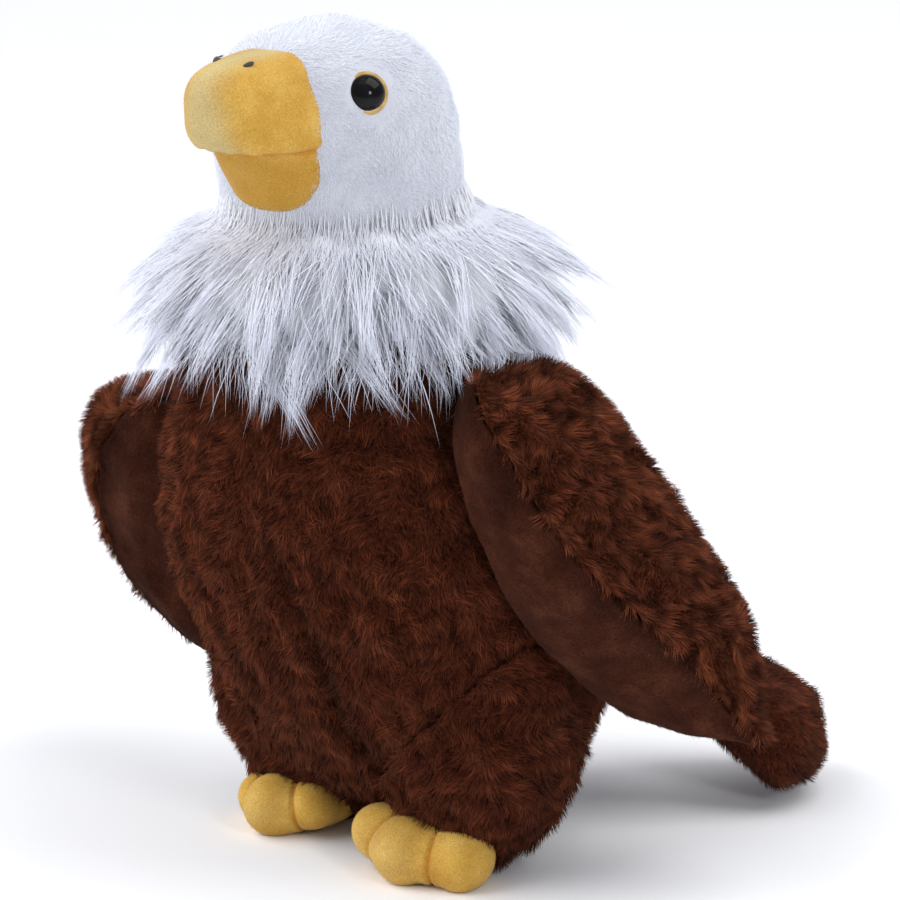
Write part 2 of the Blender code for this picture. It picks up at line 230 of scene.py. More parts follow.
def joined(shapes):
    # Several shapes' points and faces in one
    starts = np.cumsum([0] + [len(points) for points, _ in shapes[:-1]])
    faces = [faces + start for (_, faces), start in zip(shapes, starts)]
    return np.concatenate([points for points, _ in shapes]), np.concatenate(faces)


def smoothThrough(values, spots):
    # A smooth curve through evenly spaced values
    slopes = np.gradient(values)
    low = np.minimum(spots.astype(int), len(values) - 2)
    t = spots - low
    start = (1 + 2 * t) * (1 - t) ** 2 * values[low] + t * (1 - t) ** 2 * slopes[low]
    return start + t * t * (3 - 2 * t) * values[low + 1] + t * t * (t - 1) * slopes[low + 1]


def smoothStep(value, start, end):
    t = np.clip((value - start) / (end - start), 0, 1)
    return t * t * (3 - 2 * t)


def meshTree(*meshes):
    # For finding what lies inside some closed meshes, or how far away they are
    points, faces = [], []
    for mesh in meshes:
        first = len(points)
        points += [v.co.copy() for v in mesh.vertices]
        faces += [[first + v for v in face.vertices] for face in mesh.polygons]
    return BVHTree.FromPolygons(points, faces)


def solidTree(*nodes):
    return meshTree(*(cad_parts[node].data for node in nodes))


def findNear(tree, points):
    # Each point, with the nearest place on the solid, the way out there and the distance
    for point in points:
        place = Vector(point)
        near, normal, _, away = tree.find_nearest(place)
        yield place, near, normal, away


def insideSolid(tree, points, overlap):
    # Whether each point lies under the solid's face by more than the overlap
    return np.array([away < deepest and (place - near).dot(normal) < -overlap
                     for place, near, normal, away in findNear(tree, points)])


def distanceTo(tree, points):
    return np.array([away for *_, away in findNear(tree, points)])


def ontoSolid(tree, points, height):
    # The points' nearest places on the solid, raised by height
    return np.array([near + normal * height for _, near, normal, _ in findNear(tree, points)])


def liftOut(tree, points, clearance):
    # Points that lie inside the solid, or nearer than the clearance, move out to it
    moved = points.reshape(-1, 3).copy()
    for k, (place, near, normal, _) in enumerate(findNear(tree, points.reshape(-1, 3))):
        height = (place - near).dot(normal)
        if height < clearance:
            moved[k] = place + normal * (clearance - height)
    return moved.reshape(points.shape)


def nearestOf(places, points):
    # The number of the nearest place to each point
    tree = KDTree(len(places))
    for k, place in enumerate(places):
        tree.insert(Vector(place), k)
    tree.balance()
    return np.array([tree.find(Vector(point))[1] for point in points])


# The coat: tufts and long hairs are closed three-sided spikes, all of one piece joined in one mesh

coatTriangles = {"total": 0}
coatShape = {
    "cell": 1.45,  # a cell that keeps one root, against one tuft's share of the skin
    "sunk": 0.0004,  # how deep the roots stand in the skin
    "rootLift": 0.001,  # where a root is tested against the neighbour
    "lengths": (0.8, 1.2),
    "widths": (0.75, 1.25),
    "rootWidth": 0.75,
    "mostTilt": 1.75,
    "ownTone": 0.15,
    "clumpTone": 0.35,
    "foldShadeStrength": 1.3,  # how much darker painted shade makes a fold
    "clumpReach": 0.62,  # a clump's edge, against the size of its cell
}


def rootsOn(skin, count, dice):
    # Evenly spread roots, with the way that the skin faces there and their places on its map
    mesh = skin.data
    mesh.calc_loop_triangles()
    corners = readAll(mesh.loop_triangles, "vertices", 3, np.int32)
    loops = readAll(mesh.loop_triangles, "loops", 3, np.int32)
    points, normals = pointsOf(mesh), normalsOf(mesh)
    places = readAll(mesh.uv_layers[mapName].data, "uv", 2)
    one, two, three = (points[corners[:, k]] for k in range(3))
    areas = np.linalg.norm(np.cross(two - one, three - one), axis=1) / 2
    picks = dice.choice(len(areas), count * 4, p=areas / areas.sum())
    shares = dice.dirichlet((1, 1, 1), len(picks))
    roots, upright, spots = (np.einsum("nk,nkd->nd", shares, values[ends[picks]])
                             for values, ends in ((points, corners), (normals, corners), (places, loops)))
    spacing = math.sqrt(coatShape["cell"] * areas.sum() / count)
    cells = np.floor(roots / spacing).astype(np.int64)
    _, kept = np.unique(cells, axis=0, return_index=True)
    kept = dice.permutation(kept)[:count]
    return roots[kept], unit(upright[kept]), spots[kept]


def spikes(name, lines, widths, outward, spots, tonesAndShade, lit):
    # lines: root to tip, (hairs, points, 3). Each point but the tip carries a ring of three.
    # Light falls on a hair mostly as on the pile around it, which looks the way that lit gives
    count, rows, _ = lines.shape
    runs = unit(np.gradient(lines, axis=1))
    across = unit(np.cross(runs, outward[:, None, :]))
    thick = np.cross(across, runs)
    rings = []
    for corner in range(3):
        turn = math.radians(90 + 120 * corner)
        offset = across * math.cos(turn) + thick * math.sin(turn) * flatness
        rings.append(lines[:, :-1] + offset[:, :-1] * widths[:, :-1, None] / 2)
    body = np.stack(rings, axis=2).reshape(count, -1, 3)  # row by row, three corners each
    points = np.concatenate((body, lines[:, -1:]), axis=1)
    around = body - np.repeat(lines[:, :-1], 3, axis=1)
    if lit.ndim == 2:
        lit = np.repeat(lit[:, None], rows, axis=1)
    shading = unit(np.repeat(lit[:, :-1], 3, axis=1) * softness + unit(around) * (1 - softness))
    shading = np.concatenate((shading, unit(lit[:, -1:])), axis=1).reshape(-1, 3)
    perHair = points.shape[1]
    faces = [(0, 1, 2)]
    for row in range(rows - 2):
        for corner in range(3):
            a, b = row * 3 + corner, row * 3 + (corner + 1) % 3
            faces += [(a, b + 3, b), (a, a + 3, b + 3)]
    for corner in range(3):
        faces.append(((rows - 2) * 3 + (corner + 1) % 3, (rows - 2) * 3 + corner, perHair - 1))
    faces = np.array(faces)
    triangles = (faces[None] + np.arange(count)[:, None, None] * perHair).reshape(-1, 3)
    coatTriangles["total"] += len(triangles)
    print(name, "has", len(triangles), "triangles")
    mesh = meshFrom(name, points.reshape(-1, 3), triangles)
    mesh.normals_split_custom_set_from_vertices(shading.tolist())
    along = np.append(np.repeat(np.linspace(0, 1, rows)[:-1], 3), 1.0)
    sideways = np.append(np.tile((0.0, 0.5, 1.0), rows - 1), 0.5)
    local = np.stack((sideways - 0.5, along), axis=1) * tuftPlace
    spread = (spots[:, None, :] + local[None]).reshape(-1, 2)
    writeAll(mesh.uv_layers.new(name=mapName).data, "uv", spread[triangles.ravel()])
    addValues(mesh, "tip", np.tile(along, count))
    addValues(mesh, "toneAndShade", np.repeat(tonesAndShade, perHair))
    return addObject(name, mesh)


def growCoat(name, skin, coat, lie, seed, avoid, where=None, crease=None, trim=None):
    # Tufts over a skin, clear of the solid to avoid. Each leans with the pile, towards its clump's middle
    dice = np.random.default_rng(seed)
    roots, upright, spots = rootsOn(skin, coat["tufts"], dice)
    if where:
        kept = where(roots, upright)
        roots, upright, spots = roots[kept], upright[kept], spots[kept]
    kept = ~insideSolid(avoid, roots + upright * coatShape["rootLift"], coat["overlap"])
    roots, upright, spots = roots[kept], upright[kept], spots[kept]
    total = len(roots)
    forward = alongSkin(lie(roots, upright), upright)
    sideways = np.cross(upright, forward)
    swing = coat["swirl"] * ripple(roots, coat["swirlSize"], seed + 1) + dice.normal(0, coat["stray"], total)
    forward = forward * np.cos(swing)[:, None] + sideways * np.sin(swing)[:, None]
    lengths = coat["length"] * dice.uniform(*coatShape["lengths"], total)
    rows = roots * np.array((1.0, 1.0, coat["level"]))  # the pile breaks into short level waves
    surge = ripple(rows, coat["patch"], coat["waveSeed"])
    lengths *= 1 + coat["uneven"] * surge
    if trim:
        lengths *= trim(roots)
    lean = dice.normal(0, coat["loose"], total) + coat["wave"] * surge
    tilt = np.clip(coat["tilt"] + lean, 0, coatShape["mostTilt"])
    heading = upright * np.cos(tilt)[:, None] + forward * np.sin(tilt)[:, None]
    base = roots - upright * coatShape["sunk"]
    tips = base + heading * lengths[:, None]
    cells = np.floor(rows / coat["clumpSize"]).astype(np.int64)
    _, leaders = np.unique(cells, axis=0, return_index=True)
    nearest = leaders[nearestOf(rows[leaders], rows)]
    lines = np.stack((base, between(tips, tips[nearest], coat["clump"])), axis=1)
    lines[..., 2] = np.maximum(lines[..., 2], floorGap)
    fromMiddle = (rows - rows[nearest]) / (coat["clumpSize"] * coatShape["clumpReach"])
    fromMiddle -= upright * dot(fromMiddle, upright)
    far = np.linalg.norm(fromMiddle, axis=1)
    fromMiddle /= np.maximum(far, 1)[:, None]
    lit = unit(upright + fromMiddle * coat["dome"])
    tonesAndShade = dice.uniform(-1, 1, total)
    tonesAndShade = coatShape["ownTone"] * tonesAndShade + coatShape["clumpTone"] * tonesAndShade[nearest]
    # Painted shade: hairs are darker in the troughs of the pile's waves and at the partings between clumps,
    # and lighter on the crests
    tonesAndShade += coat["waveShade"] * surge - coat["partingShade"] * np.clip(far, 0, 1) ** 2
    # Painted shade: hairs are darker down the belly's fold
    if crease:
        tonesAndShade -= coatShape["foldShadeStrength"] * crease(roots, upright)
    widths = coat["width"] * dice.uniform(*coatShape["widths"], (total, 1))
    widths = widths * np.array((coatShape["rootWidth"], 0.0))
    return spikes(name, lines, widths, upright, spots, tonesAndShade, lit)


# Finishes

def newMaterial(name):
    made = bpy.data.materials.new(name)
    made.use_nodes = True
    return made, made.node_tree, made.node_tree.nodes["Principled BSDF"]


def addNode(tree, kind, **settings):
    node = tree.nodes.new(kind)
    for key, value in settings.items():
        setattr(node, key, value)
    return node


def setInputs(node, values):
    for key, value in values.items():
        node.inputs[key].default_value = value


def storedValue(tree, name):
    return addNode(tree, "ShaderNodeAttribute", attribute_name=name).outputs["Fac"]


def noiseField(tree, size, detail=3.0, roughness=0.55, place=None):
    # Noise whose swells are about size metres across
    if place is None:
        place = addNode(tree, "ShaderNodeTexCoord").outputs["Object"]
    noise = addNode(tree, "ShaderNodeTexNoise")
    setInputs(noise, {"Scale": 1 / size, "Detail": detail, "Roughness": roughness})
    tree.links.new(place, noise.inputs["Vector"])
    return noise.outputs["Fac"]


def ramp(tree, factor, stops):
    node = addNode(tree, "ShaderNodeValToRGB")
    band = node.color_ramp
    while len(band.elements) < len(stops):
        band.elements.new(0.5)
    for element, (position, colour) in zip(band.elements, stops):
        element.position = position
        element.color = (*colour, 1.0)
    tree.links.new(factor, node.inputs["Fac"])
    return node.outputs["Color"]


def mixColours(tree, factor, one, two, blend="MIX"):
    node = addNode(tree, "ShaderNodeMix", data_type="RGBA", blend_type=blend)
    for socket, value in ((node.inputs["Factor"], factor), (node.inputs["A"], one), (node.inputs["B"], two)):
        if isinstance(value, bpy.types.NodeSocket):
            tree.links.new(value, socket)
        elif isinstance(value, tuple):
            socket.default_value = (*value, 1.0)
        else:
            socket.default_value = value
    return node.outputs["Result"]


def addRange(tree, value, limits):
    node = addNode(tree, "ShaderNodeMapRange")
    setInputs(node, limits)
    tree.links.new(value, node.inputs["Value"])
    return node.outputs["Result"]


def addBump(tree, shader, height, strength, distance):
    bump = addNode(tree, "ShaderNodeBump")
    setInputs(bump, {"Strength": strength, "Distance": distance})
    tree.links.new(height, bump.inputs["Height"])
    tree.links.new(bump.outputs["Normal"], shader.inputs["Normal"])


def multiplied(tree, colour, factor, *stops):
    return mixColours(tree, 1.0, colour, ramp(tree, factor, stops), "MULTIPLY")


def patched(tree, colour, look):
    patches = noiseField(tree, look["patchSize"])
    return multiplied(tree, colour, patches, (0.38, look["patch"]), (0.62, (1, 1, 1)))


def varied(tree, colour, factor, low, high, amount):
    # Darker by the amount where the factor is low, and lighter by it where it is high
    return multiplied(tree, colour, factor, (low, (1 - amount,) * 3), (high, (1 + amount,) * 3))


def toned(tree, colour, amount):
    # Each tuft has a tone of its own, from -1 to 1, with the coats' painted shade of waves, partings and
    # folds added in
    toneAndShade = addRange(tree, storedValue(tree, "toneAndShade"), {"From Min": -1})
    return varied(tree, colour, toneAndShade, 0.0, 1.0, amount)


def softSurface(tree, shader, colour, look):
    tree.links.new(colour, shader.inputs["Base Color"])
    setInputs(shader, {
        "Roughness": look["roughness"],
        "Sheen Weight": look["sheen"],
        "Sheen Roughness": look["fuzz"],
        "Sheen Tint": (*look["sheenTint"], 1.0),
        "Specular IOR Level": look["gloss"],
    })


def pileFinish(name, look):
    # Pile: darker at the root, lighter at the tip, with patches, and a tone of its own for each tuft
    made, tree, shader = newMaterial(name)
    stops = ((0.0, look["root"]), (0.45, look["middle"]), (1.0, look["tip"]))
    colour = patched(tree, ramp(tree, storedValue(tree, "tip"), stops), look)
    softSurface(tree, shader, toned(tree, colour, look["spread"]), look)
    return made


def shaded(look, *places):
    # The pile's own colours as a ramp's stops, darkened the way that the pile shades itself
    colours = look["root"], look["middle"], look["tip"]
    return [(place, tuple(look["underShade"] * c for c in colour)) for place, colour in zip(places, colours)]


def underFinish(name, look):
    # The short fur close to the cloth: mottled in the pile's own colours, darkened as painted shade under
    # the pile, with a fine rough surface
    made, tree, shader = newMaterial(name)
    fine = noiseField(tree, look["fine"], 3.0, 0.7)
    colour = ramp(tree, fine, shaded(look, 0.34, 0.52, 0.72))
    softSurface(tree, shader, patched(tree, colour, look), look)
    addBump(tree, shader, fine, look["underBump"], look["fine"] * 0.4)
    return made


def velourFinish(name, look):
    # Short velour: a fine nap, soft brushed patches and a pale sheen at the edges
    made, tree, shader = newMaterial(name)
    brushed = noiseField(tree, look["patchSize"], 4.0)
    colour = ramp(tree, brushed, ((0.30, look["dark"]), (0.50, look["main"]), (0.72, look["light"])))
    # The stored masks mix in painted sheen on the bill's front, the toes' paler fronts, painted shade, and
    # the colour of seams and creases
    for key in ("worn", "paintedShade", "seam"):
        if key in look:
            colour = mixColours(tree, storedValue(tree, key), colour, look[key])
    nap = noiseField(tree, look["nap"], 2.0, 0.7)
    colour = varied(tree, toned(tree, colour, look["stroke"]), nap, 0.30, 0.70, look["grain"])
    softSurface(tree, shader, colour, look)
    addBump(tree, shader, nap, look["bump"], look["nap"] * 0.5)
    return made


def plasticFinish(name, look):
    # Moulded plastic: gloss, with a very slight mottle in its colour and faint handling haze
    made, tree, shader = newMaterial(name)
    swell = noiseField(tree, look["swell"], 2.0)
    colour = ramp(tree, swell, ((0.35, look["dark"]), (0.65, look["main"])))
    tree.links.new(colour, shader.inputs["Base Color"])
    haze = addRange(tree, swell, {"To Min": look["roughness"] * 0.8, "To Max": look["roughness"] * 1.3})
    tree.links.new(haze, shader.inputs["Roughness"])
    setInputs(shader, {
        "Coat Weight": look["coat"],
        "Coat Roughness": 0.03,
        "Specular IOR Level": look["gloss"],
    })
    return made


def threadFinish(name, look):
    # Embroidery thread: a fine twist across the strand
    made, tree, shader = newMaterial(name)
    twist = noiseField(tree, look["twist"], 2.0, 0.6)
    colour = ramp(tree, twist, ((0.35, look["dark"]), (0.65, look["light"])))
    tree.links.new(colour, shader.inputs["Base Color"])
    addBump(tree, shader, twist, 0.6, 0.0001)
    setInputs(shader, {"Roughness": look["roughness"], "Sheen Weight": 0.3})
    return made


def finishPiece(piece, material, slot, *nodes):
    piece.data.materials.clear()
    piece.data.materials.append(material)
    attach(piece, "root")
    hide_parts(*nodes)


def finishSkin(skin, look, material, slot, *nodes):
    finishPiece(skin, material, slot, *nodes)


def addPile(name, skin, coat, lie, finish, slot, nodes, seed, avoid, **limits):
    pile = growCoat(name, skin, coat, lie, seed, avoid, **limits)
    finishPiece(pile, finish, slot, *nodes)
    return pile


def dress(name, node, skinLook, coat, lie, finishes, seed, avoid, folds=None, coats=1):
    # One stuffed piece in brown plush: its padded skin, and its coat in one or more meshes
    pile, under = finishes

    def sewnDepth(points, normals):
        # The skin stays full where it meets its neighbour, so that no gap opens along their seam
        return smoothStep(distanceTo(avoid, points), 0.0, skinLook["seam"])

    skin = skinFrom(name + "Skin", node, skinLook, sewnDepth, folds)
    finishSkin(skin, skinLook, under, "brown_pile", node)
    # The fold's depth sets the painted shade on the hairs in it
    crease = (lambda points, normals: folds(points, normals) / bellyFold["depth"]) if folds else None
    for k in range(coats):
        label = name + "Pile" + (str(k + 1) if coats > 1 else "")
        addPile(label, skin, coat, lie, pile, "brown_pile", (node,), seed + 10 * k, avoid, crease=crease)


# Head: short, dense white pile that runs back from the bill and down the neck

headTurn = math.radians(7)  # the face looks a little to the toy's left
headAxis = axis + np.array((0.0, -0.026, 0.0))
across = np.array((math.cos(headTurn), math.sin(headTurn), 0.0))
ahead = np.array((math.sin(headTurn), -math.cos(headTurn), 0.0))
headShape = {
    "stations": (  # height, middle's depth, half width, front, back
        (0.1990, -0.021, 0.0430, 0.0430, 0.0400),
        (0.2120, -0.022, 0.0420, 0.0420, 0.0405),
        (0.2250, -0.024, 0.0415, 0.0425, 0.0400),
        (0.2380, -0.026, 0.0420, 0.0440, 0.0400),
        (0.2520, -0.028, 0.0420, 0.0455, 0.0400),
        (0.2660, -0.029, 0.0400, 0.0460, 0.0380),
        (0.2780, -0.030, 0.0345, 0.0420, 0.0325),
        (0.2870, -0.031, 0.0240, 0.0310, 0.0220),
        (0.2915, -0.032, 0.0110, 0.0150, 0.0100),
        (0.2925, -0.032, 0.0004, 0.0004, 0.0004),
    ),
    "squareness": 2.0, "rows": 40, "segments": 64, "billRoot": (0.050, 0.276), "nearEye": 0.25,
}
headLook = {
    "root": (0.78, 0.79, 0.84), "middle": (0.81, 0.835, 0.91), "tip": (0.81, 0.845, 0.965),
    "patch": (0.96, 0.96, 0.97), "patchSize": 0.02, "fine": 0.0012, "underBump": 0.25,
    "underShade": 0.68, "spread": 0.03, "roughness": 0.95, "sheen": 0.15, "sheenTint": (0.80, 0.85, 1.0),
    "fuzz": 0.5, "gloss": 0.1,
}
headSkin = {
    "cell": 0.0018, "inset": 0.0018, "smooth": 4, "relief": 0.0004, "reliefSize": 0.009, "fill": 0.85,
}
headCoat = {
    "tufts": 42000, "length": 0.0034, "width": 0.00036, "tilt": 1.2, "swirl": 0.5, "swirlSize": 0.012,
    "stray": 0.35, "loose": 0.12, "wave": 0.10, "level": 1.0, "uneven": 0.08, "patch": 0.004,
    "waveSeed": 61, "waveShade": 0.3, "overlap": 0.0006, "clump": 0.15, "clumpSize": 0.0040, "dome": 0.2,
    "partingShade": 0.2,
}


def headLie(points, normals):
    forward, height = headShape["billRoot"]
    billRoot = headAxis + ahead * forward + np.array((0, 0, height))
    return unit(points - billRoot) + down * 0.7


def placeHead(station, side, depth):
    height, middle, halfWidth, front, back = station
    reach = np.where(depth > 0, front, back)
    ring = np.stack((side * halfWidth, middle - depth * reach, np.full_like(side, height)), axis=1)
    return ring + axis


def fromEyes(points):
    # How far each point is from the nearer eye's ring
    away = [np.linalg.norm(points - middleOf("iris_" + label), axis=1) for label in ("left", "right")]
    return np.min(away, axis=0) - eyeShape["ringRadius"]


def offTheEyes(roots, upright):
    return fromEyes(roots) > 0.0


def trimmedByEyes(roots):
    # The pile is trimmed short around the eyes, so that none lies over the black
    return between(headShape["nearEye"], 1.0, smoothStep(fromEyes(roots), 0.0, eyeShape["trimmed"]))


def buildHead():
    finish = pileFinish("whitePile", headLook)
    under = underFinish("whiteUnderfur", headLook)
    face = solidTree("bill_upper", "bill_lower", "iris_left", "iris_right", "pupil_left", "pupil_right")
    shape = loft(headShape["stations"], headShape["squareness"], headShape["rows"], headShape["segments"],
                 placeHead)
    skin = evenSkin("headSkin", meshFrom("headSource", *shape), headSkin)
    finishSkin(skin, headSkin, under, "white_pile", "head")
    for k in range(2):
        addPile("headPile" + str(k + 1), skin, headCoat, headLie, finish, "white_pile", ("head",),
                100 + 10 * k, face, where=offTheEyes, trim=trimmedByEyes)
    print("head dressed")


# Trunk, legs and tail: brown plush, thick and a little curly

brownLook = {
    "root": (0.050, 0.0108, 0.0046), "middle": (0.118, 0.0295, 0.0128), "tip": (0.142, 0.0385, 0.0170),
    "patch": (0.80, 0.76, 0.74), "patchSize": 0.012, "fine": 0.0012, "underBump": 0.8,
    "underShade": 0.55, "spread": 0.85, "roughness": 0.95, "sheen": 0.06,
    "sheenTint": (0.80, 0.40, 0.25), "fuzz": 0.5, "gloss": 0.05,
}
bodySkin = {
    "cell": 0.0022, "inset": 0.0032, "smooth": 12, "relief": 0.0009, "reliefSize": 0.009, "fill": 0.8,
    "seam": 0.008,
}
brownCoat = {
    "tufts": 52000, "length": 0.0048, "width": 0.00056, "tilt": 0.885, "swirl": 1.0, "swirlSize": 0.010,
    "stray": 0.28, "loose": 0.07, "wave": 0.28, "level": 1.8, "uneven": 0.12, "patch": 0.0060,
    "waveSeed": 62, "waveShade": 0.50, "overlap": 0.0, "clump": 0.42, "clumpSize": 0.0042, "dome": 1.0,
    "partingShade": 1.1,
}
legCoat = {**brownCoat, "tufts": 20000}
tailCoat = {**brownCoat, "tufts": 17000, "length": 0.0040, "width": 0.00052, "swirl": 0.5, "swirlSize": 0.02}
tailSkin = {**bodySkin, "inset": 0.0030, "relief": 0.0004}
bellyFold = {  # its ends are (sideways, height)
    "top": (0.018, 0.125), "bottom": (0.027, 0.035), "depth": 0.0042, "width": 0.0034,
    "waver": 0.003, "wavers": 90,
}


def bellyFolds(points, normals):
    # A soft fold down the front, a little to the toy's left, that dies out at both ends
    place = points - axis
    (topX, topZ), (bottomX, bottomZ) = bellyFold["top"], bellyFold["bottom"]
    t = (topZ - place[:, 2]) / (topZ - bottomZ)
    waver = bellyFold["waver"] * np.sin(place[:, 2] * bellyFold["wavers"])
    away = place[:, 0] - (between(topX, bottomX, t) + waver)
    ends = smoothStep(t, -0.15, 0.3) * smoothStep(t, 1.25, 0.9)
    front = smoothStep(-normals[:, 1], 0.2, 0.6)
    return bellyFold["depth"] * np.exp(-(away / bellyFold["width"]) ** 2) * ends * front


def bodyLie(points, normals):
    aside = np.zeros_like(points)
    aside[:, 0] = np.sign(points[:, 0] - axis[0])
    return down + aside * 0.2


tailLie = steady((0.50, 0.66, -0.56))


def buildBody():
    finishes = pileFinish("brownPile", brownLook), underFinish("brownUnderfur", brownLook)
    legs = solidTree("leg_left", "leg_right")
    trunk = solidTree("trunk", "foot_left", "foot_right")
    dress("trunk", "trunk", bodySkin, brownCoat, bodyLie, finishes, 200, legs, bellyFolds, 2)
    for label, seed in (("left", 300), ("right", 330)):
        dress("leg" + label.title(), "leg_" + label, bodySkin, legCoat, bodyLie, finishes, seed, trunk)
    dress("tail", "tail", tailSkin, tailCoat, tailLie, finishes, 360, trunk)
    print("body dressed")


# Wings: long curly pile outside, short velour lining inside

wingLook = {
    **brownLook, "root": (0.042, 0.0095, 0.0042), "middle": (0.145, 0.0385, 0.0168),
    "tip": (0.215, 0.0625, 0.0290), "spread": 0.80,
}
fringeLook = {**wingLook, "middle": (0.150, 0.041, 0.0180), "tip": (0.240, 0.074, 0.0350)}
wingFaces = {"left": (0.61, 0.61, 0.508), "right": (-0.93, 0.10, 0.36)}  # the way each fur side looks
wingSkin = {
    "cell": 0.0022, "inset": 0.0036, "smooth": 6, "relief": 0.0008, "reliefSize": 0.010, "fill": 0.5,
}
wingCoat = {
    **brownCoat, "tufts": 44000, "length": 0.0052, "width": 0.00052, "tilt": 0.75, "swirl": 1.1,
    "swirlSize": 0.008, "wave": 0.26, "level": 1.2, "waveSeed": 63, "waveShade": 0.45, "clump": 0.34,
    "clumpSize": 0.0044, "partingShade": 1.0,
}
fringeCoat = {**wingCoat, "tufts": 60000, "length": 0.0056, "width": 0.00050, "tilt": 0.775}
wingSeam = {
    "cover": 0.006, "lining": 0.004, "fringe": 0.0035, "dark": 0.012,  # widths along the seam; dark is the band of painted shade under the fringe
    "coverShare": 0.35, "liningShare": 0.2, "furSide": -0.35, "fringeSide": -0.5, "seamShade": 0.6,
}
liningLook = {
    "dark": (0.022, 0.0052, 0.0024), "main": (0.040, 0.0110, 0.0052), "light": (0.072, 0.0225, 0.0110),
    # Its darkest colour is painted shade, for the seam under the fringe
    "paintedShade": (0.016, 0.0040, 0.0020), "stroke": 0.45, "patchSize": 0.016, "nap": 0.0009, "grain": 0.35,
    "bump": 0.9, "roughness": 0.95, "sheen": 0.04, "sheenTint": (0.85, 0.50, 0.36), "fuzz": 0.4,
    "gloss": 0.06,
}
liningSkin = {
    "cell": 0.0016, "inset": 0.0014, "smooth": 6, "relief": 0.0007, "reliefSize": 0.016, "fill": 0.5,
}
liningNap = {
    **headCoat, "tufts": 12000, "length": 0.0022, "width": 0.00045, "tilt": 1.125, "swirl": 0.3,
    "uneven": 0.15, "clump": 0.2, "clumpSize": 0.0030,
}


def wingRun(label):
    # From the shoulder to the wing's tip
    low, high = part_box("wing_cover_" + label)
    side = 1 if label == "left" else -1
    return unit(np.array((side * (high[0] - low[0]) * 0.5, (high[1] - low[1]) * 0.5, low[2] - high[2])))


def buildWings():
    pile = pileFinish("wingPile", wingLook)
    under = underFinish("wingUnderfur", wingLook)
    tan = pileFinish("wingFringe", fringeLook)
    velour = velourFinish("brownVelour", liningLook)
    body = solidTree("trunk", "leg_left", "leg_right", "tail")
    for label, seed in (("left", 400), ("right", 430)):
        run = wingRun(label)
        facing = unit(np.array(wingFaces[label]))
        towardsTip, overTheSeam = steady(run), steady(run * 0.5 - facing)
        name, cover, lining = "wing" + label.title(), "wing_cover_" + label, "wing_lining_" + label
        coverTree, liningTree = solidTree(cover), solidTree(lining)

        def coverDepth(points, normals):
            seam = smoothStep(distanceTo(liningTree, points), 0.0, wingSeam["cover"])
            return smoothStep(normals @ facing, -0.9, -0.2) * between(wingSeam["coverShare"], 1.0, seam)

        def liningDepth(points, normals):
            seam = smoothStep(distanceTo(coverTree, points), 0.0, wingSeam["lining"])
            edge = smoothStep(normals @ facing, -0.6, 0.0) * smoothStep(normals @ facing, 0.9, 0.3)
            return between(wingSeam["liningShare"], 1.0, edge) * seam

        def furSide(roots, upright):
            return upright @ facing > wingSeam["furSide"]

        def seamEdge(roots, upright):
            near = distanceTo(liningTree, roots) < wingSeam["fringe"]
            return near & (upright @ facing > wingSeam["fringeSide"])

        skin = skinFrom(name + "Skin", cover, wingSkin, coverDepth)
        finishSkin(skin, wingSkin, under, "wing_pile", cover)
        addPile(name + "Pile", skin, wingCoat, towardsTip, pile, "wing_pile", (cover,), seed, body,
                where=furSide)
        addPile(name + "Fringe", skin, fringeCoat, overTheSeam, tan, "wing_pile", (cover,), seed + 5,
                body, where=seamEdge)
        inner = skinFrom(name + "Lining", lining, liningSkin, liningDepth)
        finishSkin(inner, liningSkin, velour, "brown_velour", lining)
        nap = addPile(name + "LiningNap", inner, liningNap, towardsTip, velour, "brown_velour", (lining,),
                      seed + 8, body)
        for piece in (inner, nap):  # painted shade along the seam, under the fringe that overhangs it
            near = smoothStep(distanceTo(coverTree, pointsOf(piece.data)), wingSeam["dark"], 0.001)
            addValues(piece.data, "paintedShade", wingSeam["seamShade"] * near)
    print("wings dressed")


# Bill: yellow velour, its lower half sewn under the upper along the mouth

billShape = {
    "upper": (  # height, half width, front
        (0.2536, 0.0254, 0.0548),
        (0.2600, 0.0245, 0.0605),
        (0.2670, 0.0228, 0.0626),
        (0.2745, 0.0197, 0.0636),
        (0.2805, 0.0155, 0.0598),
        (0.2840, 0.0098, 0.0475),
        (0.2850, 0.0040, 0.0120),
    ),
    "lower": (
        (0.2270, 0.0080, 0.0180),
        (0.2300, 0.0160, 0.0280),
        (0.2335, 0.0222, 0.0332),
        (0.2390, 0.0256, 0.0366),
        (0.2460, 0.0266, 0.0410),
        (0.2544, 0.0258, 0.0466),
    ),
    "centre": 0.009, "behind": 0.012, "squareness": 2.5, "mouth": 0.2540, "mouthDepth": 0.0011,
    "mouthWidth": 0.0009, "pucker": 0.0035, "waver": 0.0003, "tipWidth": 0.006, "worn": 0.7,
    "lowerShade": 0.6, "bareRoot": 0.0018, "upperRows": 34, "lowerRows": 30, "segments": 72,
}
yellowLook = {
    "dark": (0.465, 0.250, 0.040), "main": (0.530, 0.308, 0.060), "light": (0.600, 0.375, 0.090),
    # The paler colour is painted sheen on the bill's front and the toes' paler fronts; the deepest is
    # painted shade on the lower bill; the seam colour also paints shade in the toes' creases
    "worn": (0.475, 0.405, 0.210), "paintedShade": (0.420, 0.215, 0.028), "seam": (0.47, 0.20, 0.026),
    "stroke": 0.25, "patchSize": 0.012, "nap": 0.0006, "grain": 0.20, "bump": 0.6, "roughness": 0.95,
    "sheen": 0.15, "sheenTint": (0.95, 0.95, 0.80), "fuzz": 0.4, "gloss": 0.06,
}
billSkin = {
    "cell": 0.0010, "inset": 0.0004, "smooth": 5, "relief": 0.0002, "reliefSize": 0.014, "fill": 0.9,
}
billNap = {
    **headCoat, "tufts": 14000, "length": 0.0010, "width": 0.00030, "tilt": 0.85, "loose": 0.2,
    "clump": 0.2, "clumpSize": 0.0014, "dome": 0.25,
}


